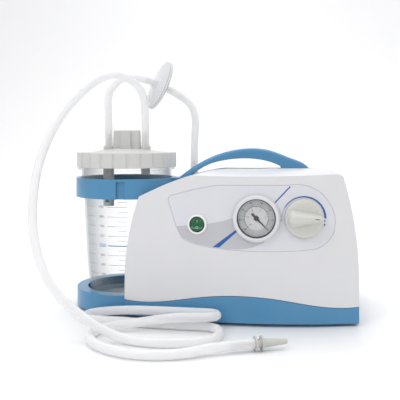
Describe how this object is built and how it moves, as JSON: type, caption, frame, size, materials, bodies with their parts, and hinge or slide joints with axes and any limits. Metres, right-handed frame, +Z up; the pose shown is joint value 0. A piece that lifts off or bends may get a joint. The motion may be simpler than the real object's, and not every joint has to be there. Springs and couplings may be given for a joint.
{
  "type": "suction pump",
  "caption": "Portable suction pump with a blue base and carry handle, white housing, clear collection jar, filter, tubes, vacuum gauge, switch and suction knob.",
  "frame": {"origin": "on the floor under the middle of the machine, measured without its tubes", "axes": "+X along the machine away from the jar, +Y towards the rear, +Z up"},
  "size_m": [0.3687, 0.3121, 0.3143],
  "materials": {
    "base_blue": "moulded blue ABS, satin gloss",
    "housing_white": "moulded white ABS, satin gloss",
    "handle_blue": "moulded blue ABS, satin gloss",
    "label_grey": "polycarbonate label, fine matte",
    "foot_rubber": "black rubber",
    "switch_white": "white nylon",
    "gauge_black": "black plastic",
    "gauge_brass": "brass",
    "dial_white": "white enamel",
    "gauge_rim": "white rim",
    "gauge_lens": "clear window",
    "regulator_brass": "brass",
    "nozzle_white": "white nylon",
    "mount_rubber": "black rubber",
    "frame_steel": "zinc plated steel",
    "bearing_steel": "ground steel",
    "stator_iron": "laminated iron",
    "winding_copper": "enamelled copper",
    "cylinder_aluminium": "cast aluminium",
    "valve_aluminium": "machined aluminium",
    "head_aluminium": "cast aluminium",
    "silencer_black": "black nylon",
    "line_grey": "grey nylon line",
    "inlet_black": "black nylon",
    "pin_brass": "plated brass",
    "vent_white": "moulded white ABS",
    "screw_steel": "zinc plated steel",
    "jar_clear": "clear polycarbonate",
    "gasket_silicone": "silicone",
    "lid_white": "white polypropylene",
    "cage_white": "white polypropylene",
    "filter_clear": "translucent",
    "filter_back": "translucent",
    "membrane_white": "hydrophobic paper",
    "connector_grey": "translucent grey",
    "silicone_tubefilter": "translucent silicone",
    "silicone_tubepump": "translucent silicone",
    "silicone_patienttube": "translucent silicone",
    "cap_white": "white polypropylene",
    "float_blue": "polypropylene",
    "switch_green": "translucent green",
    "knob_grey": "light grey plastic",
    "stem_brass": "brass",
    "needle_black": "black enamel",
    "shaft_steel": "ground steel",
    "rotor_iron": "laminated iron",
    "crank_steel": "machined steel",
    "fan_black": "black nylon",
    "rod_aluminium": "cast aluminium",
    "pin_bearing_steel": "ground steel",
    "cup_black": "piston cup",
    "drawer_black": "black nylon",
    "fuse_glass": "glass fuse"
  },
  "bodies": {
    "machine": {"base_shell": "base_blue", "upper_housing": "housing_white", "carry_handle": "handle_blue", "control_label": "label_grey", "rubber_feet": "foot_rubber", "switch_bezel": "switch_white", "gauge_case": "gauge_black", "gauge_movement": "gauge_brass", "gauge_dial": "dial_white", "gauge_bezel": "gauge_rim", "gauge_lens": "gauge_lens", "regulator_body": "regulator_brass", "inlet_nozzle": "nozzle_white", "rubber_mounts": "mount_rubber", "pump_frame": "frame_steel", "motor_bearings": "bearing_steel", "motor_stator": "stator_iron", "motor_windings": "winding_copper", "cylinder": "cylinder_aluminium", "valve_plate": "valve_aluminium", "cylinder_head": "head_aluminium", "exhaust_silencer": "silencer_black", "intake_line": "line_grey", "power_inlet": "inlet_black", "inlet_pins": "pin_brass", "vent_cover": "vent_white", "housing_screws": "screw_steel"},
    "jar": {"jar_body": "jar_clear", "lid_gasket": "gasket_silicone"},
    "lid": {"lid_cover": "lid_white", "float_cage": "cage_white", "filter_inlet_half": "filter_clear", "filter_outlet_half": "filter_back", "filter_membrane": "membrane_white", "conical_connector": "connector_grey", "tube_jar_to_filter": "silicone_tubefilter", "tube_filter_to_pump": "silicone_tubepump", "patient_tube": "silicone_patienttube"},
    "screw_ring": {"lid_screw_ring": "cap_white"},
    "float": {"float_valve": "float_blue"},
    "rocker": {"switch_rocker": "switch_green"},
    "knob": {"suction_knob": "knob_grey", "regulator_stem": "stem_brass"},
    "needle": {"gauge_needle": "needle_black"},
    "rotor": {"motor_shaft": "shaft_steel", "rotor_core": "rotor_iron", "crank_eccentric": "crank_steel", "cooling_fan": "fan_black"},
    "rod": {"connecting_rod": "rod_aluminium", "crank_pin_bearing": "pin_bearing_steel", "piston_cup": "cup_black"},
    "drawer": {"fuse_drawer": "drawer_black", "fuses": "fuse_glass"}
  },
  "joints": [
    {"name": "jar_lift", "type": "slide", "parent": "machine", "child": "jar", "axis": [0, 0, 1], "range_m": [0, 0.15]},
    {"name": "lid_lift", "type": "slide", "parent": "jar", "child": "lid", "axis": [0, 0, 1], "range_m": [0, 0.08]},
    {"name": "lid_ring_turn", "type": "hinge", "parent": "lid", "child": "screw_ring", "pos_m": [-0.111, -0.006, 0.19], "axis": [0, 0, 1], "range_deg": [0, 360]},
    {"name": "float_rise", "type": "slide", "parent": "lid", "child": "float", "axis": [0, 0, 1], "range_m": [0, 0.018]},
    {"name": "power_switch", "type": "hinge", "parent": "machine", "child": "rocker", "pos_m": [-0.00797, -0.08134, 0.11374], "axis": [0.9947, -0.1026, 0], "range_deg": [0, 12]},
    {"name": "suction_turn", "type": "hinge", "parent": "machine", "child": "knob", "pos_m": [0.1132, -0.07909, 0.12203], "axis": [0.1641, -0.9855, 0.0436], "range_deg": [0, 200]},
    {"name": "gauge_needle_turn", "type": "hinge", "parent": "machine", "child": "needle", "pos_m": [0.05971, -0.08439, 0.12181], "axis": [0.0466, -0.998, 0.0436], "range_deg": [0, 270]},
    {"name": "motor_spin", "type": "hinge", "parent": "machine", "child": "rotor", "pos_m": [0, 0.015, 0.052], "axis": [1, 0, 0], "continuous": true},
    {"name": "rod_swing", "type": "hinge", "parent": "rotor", "child": "rod", "pos_m": [0, 0.015, 0.055], "axis": [1, 0, 0], "continuous": true},
    {"name": "fuse_drawer_slide", "type": "slide", "parent": "machine", "child": "drawer", "axis": [0, 1, 0], "range_m": [0, 0.018]}
  ],
  "couplings": [
    {"joint": "rod_swing", "follows": "motor_spin", "ratio": -1}
  ]
}
